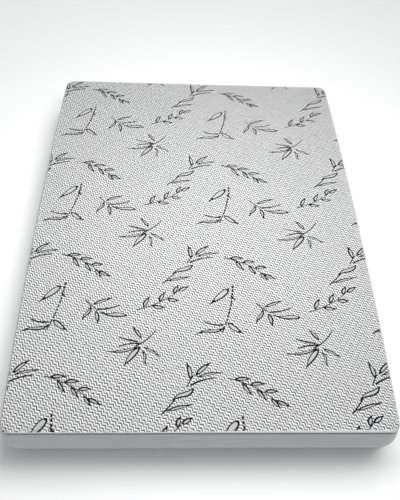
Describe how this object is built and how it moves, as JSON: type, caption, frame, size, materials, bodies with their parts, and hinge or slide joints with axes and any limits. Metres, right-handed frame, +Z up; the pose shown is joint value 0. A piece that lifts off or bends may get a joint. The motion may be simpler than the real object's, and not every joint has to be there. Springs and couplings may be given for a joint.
{
  "type": "mattress protector on a mattress",
  "caption": "Fitted mattress protector: a knitted top panel sewn to a stretch skirt, which is pulled over a plain mattress and tucked under it.",
  "frame": {"origin": "on the surface the mattress stands on, under the middle of the whole", "axes": "+Y along the length to the head end, +X across to the right seen from the foot end, +Z up"},
  "size_m": [1.5556, 2.033, 0.2082],
  "materials": {
    "knit": "raised white knit with thin dark grey leaf outlines",
    "skirt_cloth": "smooth pale grey stretch knit",
    "ticking": "plain off-white mattress cloth"
  },
  "bodies": {
    "root": {"mattress": "ticking", "top_panel": "knit", "skirt": "skirt_cloth"}
  },
  "joints": []
}
